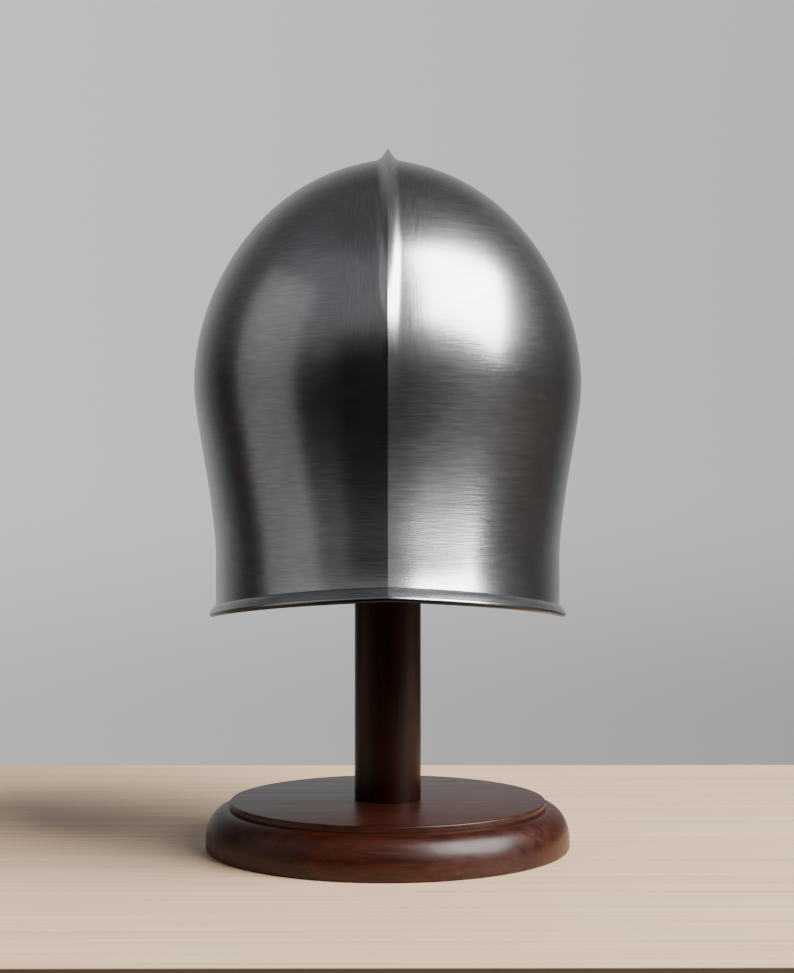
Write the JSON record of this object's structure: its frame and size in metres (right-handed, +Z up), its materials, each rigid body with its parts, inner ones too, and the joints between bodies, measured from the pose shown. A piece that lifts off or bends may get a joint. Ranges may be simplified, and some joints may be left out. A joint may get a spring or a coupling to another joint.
{
  "type": "barbuta helmet on a wooden stand",
  "caption": "Steel barbuta helmet with a T-shaped face opening, a low comb and a rolled edge, resting on a turned wooden stand.",
  "frame": {"origin": "middle of the stand's underside, on the axis of its post, under the middle of the helmet", "axes": "+Z up along the post; the face opening looks along -Y and the back of the neck along +Y; +X is the wearer's left"},
  "size_m": [0.2142, 0.2738, 0.385],
  "materials": {
    "polished_steel": "satin polished, fine brushing lines, lightly darkened",
    "dark_stained_wood": "dark red-brown stain under satin lacquer"
  },
  "bodies": {
    "root": {"helmet_plate": "polished_steel", "rolled_edge": "polished_steel", "stand_base": "dark_stained_wood", "stand_post": "dark_stained_wood", "stand_rest": "dark_stained_wood"}
  },
  "joints": []
}
